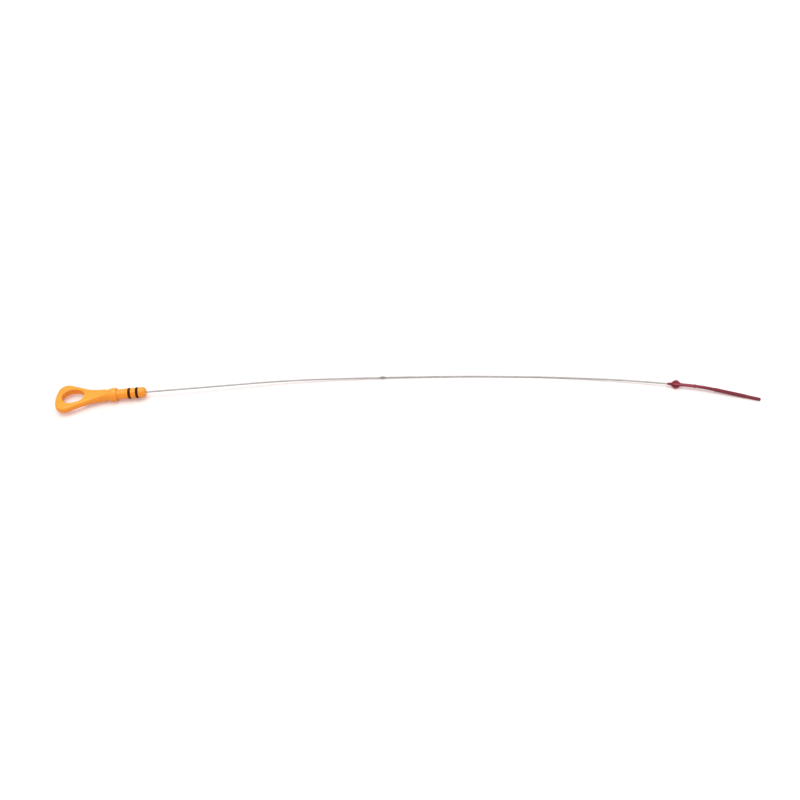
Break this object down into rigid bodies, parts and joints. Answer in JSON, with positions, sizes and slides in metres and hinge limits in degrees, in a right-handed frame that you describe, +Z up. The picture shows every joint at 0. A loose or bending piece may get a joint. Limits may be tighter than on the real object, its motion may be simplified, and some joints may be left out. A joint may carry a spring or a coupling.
{
  "type": "engine oil dipstick",
  "caption": "Engine oil dipstick with a moulded yellow finger-loop handle, sealed stopper, thin bowed spring wire and a red finned gauge tip.",
  "frame": {"origin": "centre of the collar's flat front face, which seats on the mouth of the dipstick tube", "axes": "+X along the stopper towards the wire, +Z up from the surface that the dipstick lies on"},
  "size_m": [0.6951, 0.1032, 0.0136],
  "materials": {
    "handle_plastic": "satin",
    "seal_rubber": "satin",
    "wire_steel": "satin",
    "tip_plastic": "satin"
  },
  "bodies": {
    "root": {"handle": "handle_plastic", "collar_o_ring": "seal_rubber", "nose_o_ring": "seal_rubber", "wire": "wire_steel", "gauge_tip": "tip_plastic"}
  },
  "joints": []
}
